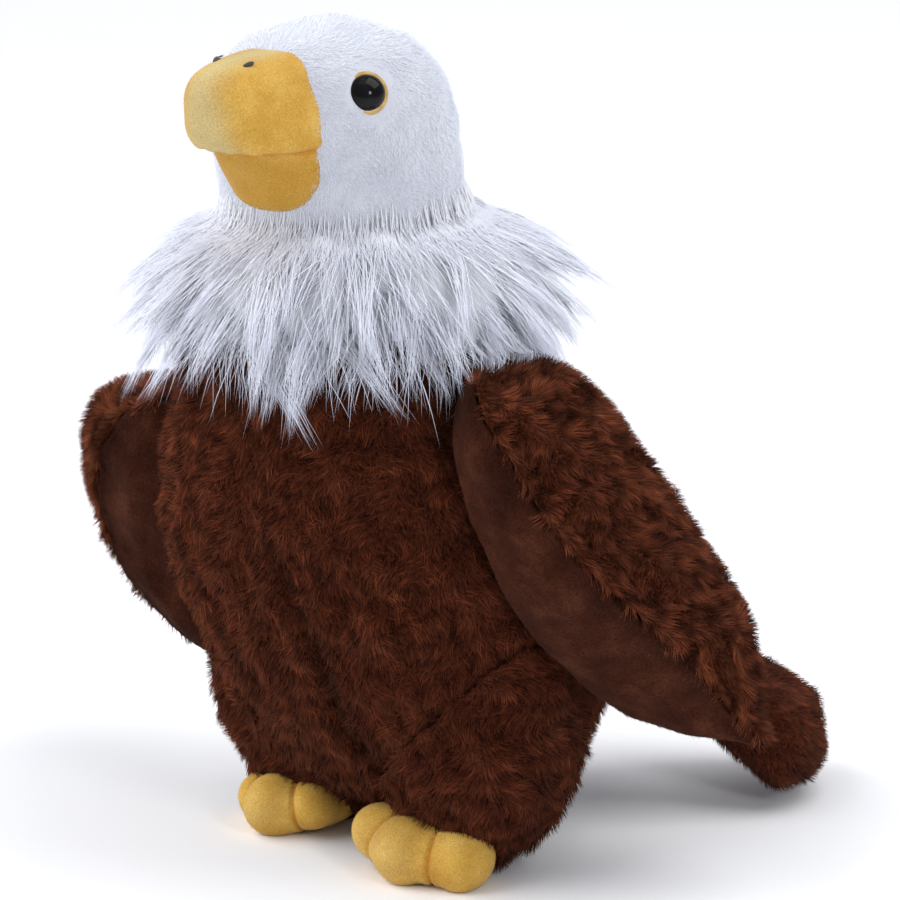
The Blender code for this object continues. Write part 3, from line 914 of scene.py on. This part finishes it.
def placeBill(station, side, depth):
    height, halfWidth, front = station
    reach = np.where(depth > 0, front, billShape["behind"])
    middle = headAxis + ahead * billShape["centre"] + np.array((0, 0, height))
    return middle + np.outer(side * halfWidth, across) + np.outer(depth * reach, ahead)


def besideMiddle(points):
    # How far each point is to the side of the face's middle
    return (points - headAxis) @ across


def mouthGroove(points):
    # 1 on the seam between the bill's halves, with a slight waver where the stitches pull
    waver = billShape["waver"] * np.sin(besideMiddle(points) / billShape["pucker"] * math.pi)
    level = billShape["mouth"] + waver
    return np.exp(-((points[:, 2] - level) / billShape["mouthWidth"]) ** 2)


def billSheen(points):
    # Painted sheen on the front gusset: paler nap down the front of the upper half, widest at the tip
    narrow = billShape["tipWidth"] * (1 - 0.6 * smoothStep(points[:, 2], 0.256, 0.284))
    front = smoothStep(np.abs(besideMiddle(points)), narrow + 0.008, narrow - 0.002)
    return billShape["worn"] * front * smoothStep(points[:, 2], 0.2535, 0.2545)


def lowerBillShade(points):
    # Painted shade: the lower half, under the upper and with its nap running the other way, is a little
    # deeper
    return billShape["lowerShade"] * smoothStep(points[:, 2], billShape["mouth"], billShape["mouth"] - 0.004)


billLie = steady(-ahead + down * 0.5)


def buildBill():
    velour = velourFinish("yellowVelour", yellowLook)
    halves = [loft(billShape[half], billShape["squareness"], billShape[half + "Rows"], billShape["segments"],
                   placeBill) for half in ("upper", "lower")]
    skin = evenSkin("billSkin", meshFrom("billSource", *joined(halves)), billSkin)
    points, normals = pointsOf(skin.data), normalsOf(skin.data)
    setPoints(skin.data, points - normals * (billShape["mouthDepth"] * mouthGroove(points))[:, None])
    addValues(skin.data, "seam", mouthGroove(points))
    nodes = ("bill_upper", "bill_lower")
    finishSkin(skin, billSkin, velour, "yellow_velour", *nodes)
    head = solidTree("head")

    def offTheSeams(roots, upright):
        return (mouthGroove(roots) < 0.5) & (distanceTo(head, roots) > billShape["bareRoot"])

    nap = addPile("billNap", skin, billNap, billLie, velour, "yellow_velour", nodes, 600, head,
                  where=offTheSeams)
    # Painted sheen down the bill's front and painted shade on its lower half
    for mesh, places in ((skin.data, points), (nap.data, pointsOf(nap.data))):
        addValues(mesh, "worn", billSheen(places))
        addValues(mesh, "paintedShade", lowerBillShade(places))
    print("bill dressed")


# Feet: three stuffed toes each, in the same velour

footShape = {  # toes of (x, y, z, radius) from the toy's axis, inner to outer, then the pad
    "left": ((0.0205, -0.0270, 0.0130, 0.0098), (0.0345, -0.0290, 0.0106, 0.0116),
             (0.0505, -0.0210, 0.0098, 0.0108), (0.0345, -0.0140, 0.0105, 0.0200)),
    "right": ((-0.0215, -0.0215, 0.0115, 0.0085), (-0.0330, -0.0270, 0.0096, 0.0106),
              (-0.0450, -0.0205, 0.0082, 0.0090), (-0.0330, -0.0130, 0.0095, 0.0180)),
    "stretch": 1.25,
    "web": np.array((1.0, 0.97, 0.96, 0.93)),
    # The crease's tone is painted shade in the creases between the toes
    "creaseWidth": 0.14, "creaseDepth": 0.0012, "creaseTone": 0.8,
    "paleFrom": (0.030, 0.046), "pale": 0.2,  # the toes are paler in front
    "rows": 20, "segments": 32,
}
footSkin = {
    "cell": 0.0010, "inset": -0.0006, "smooth": 14, "relief": 0.0003, "reliefSize": 0.008, "fill": 0.85,
}
footNap = {**billNap, "tufts": 6000, "length": 0.0011}


def toeCrease(points, label):
    # 1 where two toes press together
    away = []
    for x, y, z, radius in footShape[label][:-1]:
        away.append(np.linalg.norm((points - axis - np.array((x, y, z))) / radius, axis=1))
    away = np.sort(np.array(away), axis=0)
    return smoothStep(away[1] - away[0], footShape["creaseWidth"], 0.0) * smoothStep(away[0], 1.7, 1.3)


def toeBall(centre, radii, heading):
    across = np.array((-heading[1], heading[0], 0.0))
    levels = np.linspace(-math.pi / 2, math.pi / 2, footShape["rows"])
    stations = np.stack((np.sin(levels), np.maximum(np.cos(levels), 0.002)), axis=1)

    def place(station, side, depth):
        height, size = station
        ring = np.outer(side * size * radii[0], across) + np.outer(depth * size * radii[1], heading)
        return centre + ring + np.array((0, 0, height * radii[2]))

    return loft(stations, 2.0, footShape["rows"], footShape["segments"], place)


footLie = steady((0.0, -0.5, -0.8))


def offTheFloor(roots, upright):
    return roots[:, 2] > footNap["length"] * 0.8


def buildFeet():
    velour = bpy.data.materials["yellowVelour"]
    for label, seed in (("left", 640), ("right", 660)):
        node = "foot_" + label
        x, y, z, radius = footShape[label][-1]
        heel = np.array((x, y + radius, 0.0))
        pad = np.array((x, y, z)) + axis
        balls = [toeBall(pad, (radius, radius, z + 0.001), np.array((0.0, -1.0, 0.0)))]
        toes = np.array(footShape[label][:-1])
        webs = (toes[1:] + toes[:-1]) / 2 * footShape["web"]  # stuffing in the hollows between the toes
        for x, y, z, radius in np.concatenate((toes, webs)):
            radii = (radius, radius * footShape["stretch"], radius)
            balls.append(toeBall(np.array((x, y, z)) + axis, radii, unit(np.array((x, y, 0.0)) - heel)))
        name = "foot" + label.title()
        skin = evenSkin(name, meshFrom(node + "Source", *joined(balls)), footSkin)
        points = pointsOf(skin.data)
        points -= normalsOf(skin.data) * (footShape["creaseDepth"] * toeCrease(points, label))[:, None]
        points[:, 2] = np.maximum(points[:, 2], floorGap)
        setPoints(skin.data, points)
        finishSkin(skin, footSkin, velour, "yellow_velour", node)
        nap = addPile(name + "Nap", skin, footNap, footLie, velour, "yellow_velour", (node,), seed,
                      solidTree("leg_" + label), where=offTheFloor)
        for piece in (skin, nap):
            place = pointsOf(piece.data)
            front = smoothStep(-(place[:, 1] - axis[1]), *footShape["paleFrom"])
            above = smoothStep(place[:, 2], 0.001, 0.008)
            addValues(piece.data, "worn", footShape["pale"] * front * above)
            # Painted shade in the creases between the toes, in the seams' colour
            addValues(piece.data, "seam", footShape["creaseTone"] * toeCrease(place, label))
    print("feet dressed")


# Eyes: a glossy black button in an amber ring

eyeShape = {
    "turn": 52, "tilt": 0.38, "ringRadius": 0.0073, "ringRise": 0.0020, "domeRadius": 0.0061,
    "domeRise": 0.0046, "domeSeat": 0.0010, "rimDepth": 0.003, "rimRound": 0.0012, "plateLift": 0.0008,
    "trimmed": 0.0045, "steps": 12, "segments": 64,
}
eyeBlack = {"dark": (0.002, 0.002, 0.0025), "main": (0.005, 0.0045, 0.0045), "swell": 0.004,
            "roughness": 0.05, "coat": 0.0, "gloss": 0.16}
eyeAmber = {"dark": (0.36, 0.20, 0.025), "main": (0.50, 0.31, 0.06), "swell": 0.003,
            "roughness": 0.3, "coat": 0.3, "gloss": 0.5}
nostrilThread = {"dark": (0.006, 0.005, 0.005), "light": (0.03, 0.028, 0.026), "twist": 0.0003,
                 "roughness": 0.6}


def turned(name, centre, forward, profile):
    # A lathed button: (radius, height along forward) pairs from the back's middle to the front's
    across = unit(np.cross(forward, np.array((0, 0, 1.0))))
    up = np.cross(across, forward)
    turns = fullTurn(eyeShape["segments"])
    around = np.outer(np.cos(turns), across) + np.outer(np.sin(turns), up)
    rings = [centre + forward * height + around * radius for radius, height in profile]
    ends = [centre + forward * profile[0][1], centre + forward * profile[-1][1]]
    faces = ringFaces(len(profile), len(turns))
    button = addObject(name, meshFrom(name, np.concatenate((*rings, ends)), faces))
    unwrap(button)
    return button


def buildEyes():
    black = plasticFinish("blackGloss", eyeBlack)
    amber = plasticFinish("amberGloss", eyeAmber)
    quarter = np.linspace(0, math.pi / 2, eyeShape["steps"])
    radius, rise = eyeShape["domeRadius"], eyeShape["domeRise"]
    dome = [(radius * 0.99, 0.0)]
    dome += [(radius * math.cos(q) + 1e-5, eyeShape["domeSeat"] + rise * math.sin(q)) for q in quarter]
    radius, rise = eyeShape["ringRadius"], eyeShape["ringRise"]
    rim = [(radius, -eyeShape["rimDepth"]), (radius, 0.0)]
    rim += [(radius - eyeShape["rimRound"] * (1 - math.cos(q)), rise * math.sin(q)) for q in quarter]
    for label, side in (("left", 1), ("right", -1)):
        turn = headTurn + side * math.radians(eyeShape["turn"])
        forward = unit(np.array((math.sin(turn), -math.cos(turn), eyeShape["tilt"])))
        plate = middleOf("iris_" + label) + forward * eyeShape["plateLift"]
        pupil = turned("eye" + label.title(), plate, forward, dome)
        finishPiece(pupil, black, "black_gloss", "pupil_" + label)
        ring = turned("eyeRing" + label.title(), plate, forward, rim)
        finishPiece(ring, amber, "amber_gloss", "iris_" + label)
    print("eyes set")


def buildNostrils():
    thread = threadFinish("blackThread", nostrilThread)
    for label in ("left", "right"):
        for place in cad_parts["nostril_" + label].material_slots:
            place.material = thread
    print("nostrils stitched")


# Ruff: a thick fluffy collar of white fur that ends in long hair, in pointed locks over the shoulders

ruffShape = {
    "depth": -0.022,  # the neck seam's middle, from the toy's axis
    "core": (  # radius and height round the collar's section, from the neck over the top and back under
        (0.0392, 0.2270), (0.0432, 0.2252), (0.0485, 0.2215), (0.0545, 0.2165),
        (0.0592, 0.2095), (0.0612, 0.2010), (0.0598, 0.1945), (0.0560, 0.1918),
        (0.0500, 0.1930), (0.0440, 0.1970), (0.0385, 0.2060), (0.0375, 0.2180),
    ),
    "coreWave": 0.0022,
    "neckRadius": 0.0385, "neckHeight": 0.2215, "hemRadius": 0.0560, "hemHeight": 0.1910,
    "highTip": (0.0920, 0.2000),  # radius and height of the tips of the topmost locks
    "lowTip": (0.0740, 0.1640),  # and of the lowest
    "locks": 140, "hairs": 56, "lockReach": (0.70, 1.14), "hairReach": (0.66, 1.02),
    "lockSweep": 0.20, "lockSpread": 0.0018, "rootSpread": 0.085,
    "underHairs": 4200, "underReach": (0.45, 0.85), "underDrift": 0.10,
    "strayHairs": 60, "strayReach": (0.8, 1.12), "strayDrift": 0.12,
    "neckHairs": 4200, "neckTop": 0.2370, "neckLength": 0.011, "neckGrowth": 0.018,
    "hairWidth": 0.00030, "neckWidth": 0.75, "bends": 4, "clearance": 0.001,
    "lightFrom": (0.0400, 0.1700),  # the hair is lit as if it bulged out from here
}
ruffLook = {
    "root": (0.82, 0.825, 0.85), "middle": (0.81, 0.83, 0.90), "tip": (0.79, 0.82, 0.96),
    "patch": (0.96, 0.96, 0.97), "patchSize": 0.02, "spread": 0.07, "roughness": 0.7, "sheen": 0.15,
    "sheenTint": (0.82, 0.86, 1.0), "fuzz": 0.5, "gloss": 0.2, "strand": 0.0011, "underShade": 0.64,
}
ruffSkin = {"cell": 0.0015, "inset": 0.0, "smooth": 5, "relief": 0.0008, "reliefSize": 0.007, "fill": 0.7}


def outwards(turn):
    # The way out from the neck at a turn from straight ahead, towards the toy's left
    return np.stack((np.sin(turn), -np.cos(turn), 0 * turn), axis=-1)


def roundNeck(turn, radius, height):
    depth = ruffShape["depth"] - np.cos(turn) * radius
    return np.stack((np.sin(turn) * radius, depth, height + 0 * turn), axis=-1) + axis


def strandFinish(name, look):
    # Fur combed outwards and down: fine streaks that run from the neck to the hem, in colours darkened as
    # painted shade under the loose hairs
    made, tree, shader = newMaterial(name)
    place = addNode(tree, "ShaderNodeAttribute", attribute_name="strand").outputs["Vector"]
    streaks = noiseField(tree, look["strand"], 3.0, 0.5, place)
    softSurface(tree, shader, ramp(tree, streaks, shaded(look, 0.32, 0.52, 0.70)), look)
    addBump(tree, shader, streaks, 0.7, look["strand"] * 0.4)
    return made


def buildCollar():
    around, rows = 120, 36
    turn = fullTurn(around)
    section = np.array(ruffShape["core"])
    spots = np.linspace(0, len(section) - 1, rows)
    radii, heights = smoothThrough(section[:, 0], spots), smoothThrough(section[:, 1], spots)
    wave = ruffShape["coreWave"] * ripple(roundNeck(turn, 0.06, 0.2), 0.016, 51)
    grown = np.clip((radii - 0.045) / 0.018, 0, 1)
    rings = np.array([roundNeck(turn, r + wave * g, z - wave * g) for r, z, g in zip(radii, heights, grown)])
    shape = meshFrom("ruffSource", rings.reshape(-1, 3), ringFaces(rows, around, capped=False))
    collar = evenSkin("ruffCollar", shape, ruffSkin)
    place = pointsOf(collar.data) - axis
    place[:, 1] -= ruffShape["depth"]
    radius = np.maximum(np.linalg.norm(place[:, :2], axis=1), 0.001)
    along = (radius - place[:, 2]) * 0.06
    strand = np.stack((place[:, 0] / radius * 0.06, place[:, 1] / radius * 0.06, along), axis=1)
    addValues(collar.data, "strand", strand, "FLOAT_VECTOR")
    finishSkin(collar, ruffSkin, strandFinish("ruffFur", ruffLook), "ruff_pile", "ruff")
    return collar


def hairCurves(root, one, two, tip):
    t = np.linspace(0, 1, ruffShape["bends"] + 1)[None, :, None]
    return (root[:, None] * (1 - t) ** 3 + one[:, None] * 3 * t * (1 - t) ** 2
            + two[:, None] * 3 * t * t * (1 - t) + tip[:, None] * t ** 3)


def ruffHairs(turn, level, tipTurn, fall, reach, jitter):
    # Curves from the collar: down the neck, out, then over. fall is 0 for the highest tips
    radius = between(ruffShape["neckRadius"], ruffShape["hemRadius"], level ** 1.3)
    height = between(ruffShape["neckHeight"], ruffShape["hemHeight"], level)
    root = roundNeck(turn, radius, height)
    high, low = ruffShape["highTip"], ruffShape["lowTip"]
    tipRadius = between(radius, between(high[0], low[0], fall), reach)
    tipHeight = between(height, between(high[1], low[1], fall), reach)
    tip = roundNeck(tipTurn, tipRadius, tipHeight) + jitter
    out = outwards(turn)
    lift = (0.006 * (1 - fall) * reach)[:, None]
    one = root + out * (0.011 + 0.003 * (1 - level))[:, None] * reach[:, None] - down * lift
    two = between(tip, root, 0.35) - down * (0.005 * reach)[:, None] + out * 0.003
    return hairCurves(root, one, two, tip)


def ruffLocks(dice):
    # Locks: hairs with roots side by side whose tips run together
    locks, hairs = ruffShape["locks"], ruffShape["hairs"]
    turn = (np.arange(locks) * 0.618034 % 1) * 2 * math.pi
    fall = dice.uniform(0, 1, locks) ** 0.85
    level = np.clip(0.75 * fall + dice.normal(0, 0.08, locks), 0, 1)
    sweep = dice.normal(0, ruffShape["lockSweep"], locks)
    reach = dice.uniform(*ruffShape["lockReach"], locks)
    member = np.repeat(np.arange(locks), hairs)
    total = len(member)
    hairTurn = turn[member] + dice.normal(0, ruffShape["rootSpread"], total)
    hairLevel = np.clip(level[member] + dice.normal(0, 0.10, total), 0, 1)
    share = dice.uniform(*ruffShape["hairReach"], total)
    hairReach = reach[member] * share
    jitter = dice.normal(0, ruffShape["lockSpread"] / 2, (total, 3))
    tipTurn = turn[member] + sweep[member] * share + dice.normal(0, 0.012, total)
    lines = ruffHairs(hairTurn, hairLevel, tipTurn, fall[member], hairReach, jitter)
    return lines, hairTurn, 0.5 * dice.uniform(-1, 1, total) + 0.5 * dice.uniform(-1, 1, locks)[member]


def ruffLoose(kind, dice):
    # Hairs that go their own way: the short under layer, and the strays
    count, reach, drift = (ruffShape[kind + what] for what in ("Hairs", "Reach", "Drift"))
    turn = dice.uniform(0, 2 * math.pi, count)
    level = dice.uniform(0, 1, count)
    fall = np.clip(level + dice.normal(0, 0.15, count), -0.1, 1.05)
    lines = ruffHairs(turn, level, turn + dice.normal(0, drift, count), fall,
                      dice.uniform(*reach, count), dice.normal(0, 0.0025, (count, 3)))
    return lines, turn, dice.uniform(-1, 1, count)


def neckHairs(dice, collar):
    # Hairs that start among the head's pile and grow longer down to the collar, so that no seam shows
    count = ruffShape["neckHairs"]
    head = solidTree("head")
    turn = dice.uniform(0, 2 * math.pi, count)
    grown = np.sqrt(dice.uniform(0, 1, count))  # 0 at the top, 1 at the collar
    height = between(ruffShape["neckTop"], ruffShape["neckHeight"] + 0.001, grown)
    root = ontoSolid(head, roundNeck(turn, 0.046, height), -0.0012)
    out = outwards(turn)
    length = ruffShape["neckLength"] + ruffShape["neckGrowth"] * grown ** 1.5
    length = length * dice.uniform(0.75, 1.2, count)
    drop = np.clip(root[:, 2] - ruffShape["neckHeight"] - 0.001, 0, length)
    spread = length - drop
    drift = np.cross(down, out) * (dice.normal(0, 0.20, count) * length)[:, None]
    one = root + down * (0.6 * drop)[:, None] + out * 0.0016
    two = root + down * (0.95 * drop)[:, None] + out * (0.0022 + 0.35 * spread)[:, None] + drift * 0.4
    tip = root + down * (drop + 0.30 * spread)[:, None] + out * (0.0022 + 0.9 * spread)[:, None] + drift
    lines = hairCurves(root, one, two, tip)
    for tree in (head, collar):
        lines[:, 1:] = liftOut(tree, lines[:, 1:], 0.0004)
    return lines, turn, dice.uniform(-1, 1, count)


def buildRuff():
    finish = pileFinish("ruffPile", ruffLook)
    collar = buildCollar()
    dice = np.random.default_rng(500)
    groups = (ruffLocks(dice), ruffLoose("under", dice), ruffLoose("stray", dice),
              neckHairs(dice, meshTree(collar.data)))
    lines, turn, tonesAndShade = (np.concatenate([group[k] for group in groups]) for k in range(3))
    total = len(lines)
    body = solidTree("trunk", "wing_cover_left", "wing_cover_right", "wing_lining_left", "wing_lining_right")
    lines[:, 1:] = liftOut(body, lines[:, 1:], ruffShape["clearance"])
    bulge = lines - roundNeck(turn, *ruffShape["lightFrom"])[:, None]
    above = np.clip((lines[..., 2:] - ruffShape["neckHeight"]) / 0.010, 0, 1)  # lit from the side there
    lit = unit(bulge + outwards(turn)[:, None] * above * 0.12)
    t = np.linspace(0, 1, ruffShape["bends"] + 1)
    widths = ruffShape["hairWidth"] * dice.uniform(0.7, 1.3, (total, 1)) * (1 - 0.8 * t ** 2)[None]
    widths[-ruffShape["neckHairs"]:] *= ruffShape["neckWidth"]  # the neck's hairs are the last group
    spots = nearestSpots(collar, lines[:, 0])
    order = dice.permutation(total)
    for k, share in enumerate(np.array_split(order, 2)):
        locks = spikes("ruffLocks" + str(k + 1), lines[share], widths[share], lit[share, 2], spots[share],
                       tonesAndShade[share], lit[share])
        finishPiece(locks, finish, "ruff_pile", "ruff")
    print("ruff dressed")


def nearestSpots(skin, points):
    # The map place of the skin's nearest corner to each point
    mesh = skin.data
    spot = np.zeros((len(mesh.vertices), 2))
    corners = readAll(mesh.loops, "vertex_index", 1, np.int32)[:, 0]
    spot[corners] = readAll(mesh.uv_layers[mapName].data, "uv", 2)
    return spot[nearestOf(pointsOf(mesh), points)]


# Stage, lights and camera

stageLook = {
    "size": 40.0, "colour": (0.96, 0.96, 0.965), "faint": 0.985, "patch": 0.4, "roughness": 0.9,
    "room": (0.93, 0.96, 1.06), "world": 0.48, "middle": (0, 0, 0.14),
}
sunLook = {"turn": -40, "height": 36, "angle": 70, "strength": 2.7}
lamps = {
    "eyeSoftbox": {"turn": 72, "height": 24, "distance": 1.3, "size": 0.24, "power": 3},
    "sideSoftbox": {"turn": 125, "height": 60, "distance": 1.5, "size": 1.2, "power": 12},
    "topSoftbox": {"turn": 20, "height": 80, "distance": 1.5, "size": 1.0, "power": 2},
}
cameraLook = {
    "turn": 45, "height": 15, "distance": 1.6, "aim": (0.0196, -0.0169, 0.138), "lens": 188.2,
    "sensor": 36,
}


def direction(turn, height):
    a, e = math.radians(turn), math.radians(height)
    return Vector((math.sin(a) * math.cos(e), -math.cos(a) * math.cos(e), math.sin(e)))


def turnTo(obj, back):
    obj.rotation_euler = back.to_track_quat("Z", "Y").to_euler()


def addLight(name, kind, look, **settings):
    light = bpy.data.lights.new(name, kind)
    for key, value in settings.items():
        setattr(light, key, value)
    lamp = addObject(name, light)
    turnTo(lamp, direction(look["turn"], look["height"]))
    return lamp


def buildStage():
    half = stageLook["size"] / 2
    corners = [(-half, -half, 0), (half, -half, 0), (half, half, 0), (-half, half, 0)]
    mesh = bpy.data.meshes.new("studioFloor")
    mesh.from_pydata(corners, [], [(0, 1, 2, 3)])
    floor = addObject("studioFloor", mesh)
    made, tree, shader = newMaterial("studioPaper")
    faint = tuple(stageLook["faint"] * c for c in stageLook["colour"])
    paper = ramp(tree, noiseField(tree, stageLook["patch"]), ((0.4, faint), (0.6, stageLook["colour"])))
    tree.links.new(paper, shader.inputs["Base Color"])
    setInputs(shader, {"Roughness": stageLook["roughness"]})
    mesh.materials.append(made)
    world = bpy.data.worlds.new("studioRoom")
    world.use_nodes = True
    room = {"Color": (*stageLook["room"], 1.0), "Strength": stageLook["world"]}
    setInputs(world.node_tree.nodes["Background"], room)
    bpy.context.scene.world = world
    wide = math.radians(sunLook["angle"])
    sky = addLight("broadSun", "SUN", sunLook, energy=sunLook["strength"], angle=wide)
    sky.visible_glossy = False  # the eyes mirror only the softboxes
    for name, look in lamps.items():
        lamp = addLight(name, "AREA", look, shape="SQUARE", size=look["size"], energy=look["power"])
        away = direction(look["turn"], look["height"]) * look["distance"]
        lamp.location = Vector(stageLook["middle"]) + away
    bpy.context.scene.view_settings.view_transform = "Standard"
    print("stage lit")


def buildCamera():
    data = bpy.data.cameras.new("studioCamera")
    data.lens = cameraLook["lens"]
    data.sensor_width = cameraLook["sensor"]
    camera = addObject("studioCamera", data)
    back = direction(cameraLook["turn"], cameraLook["height"])
    camera.location = Vector(cameraLook["aim"]) + back * cameraLook["distance"]
    turnTo(camera, back)
    bpy.context.scene.camera = camera


buildCamera()
buildStage()
buildHead()
buildBody()
buildWings()
buildBill()
buildFeet()
buildEyes()
buildNostrils()
buildRuff()
print("coat has", coatTriangles["total"], "triangles in all")
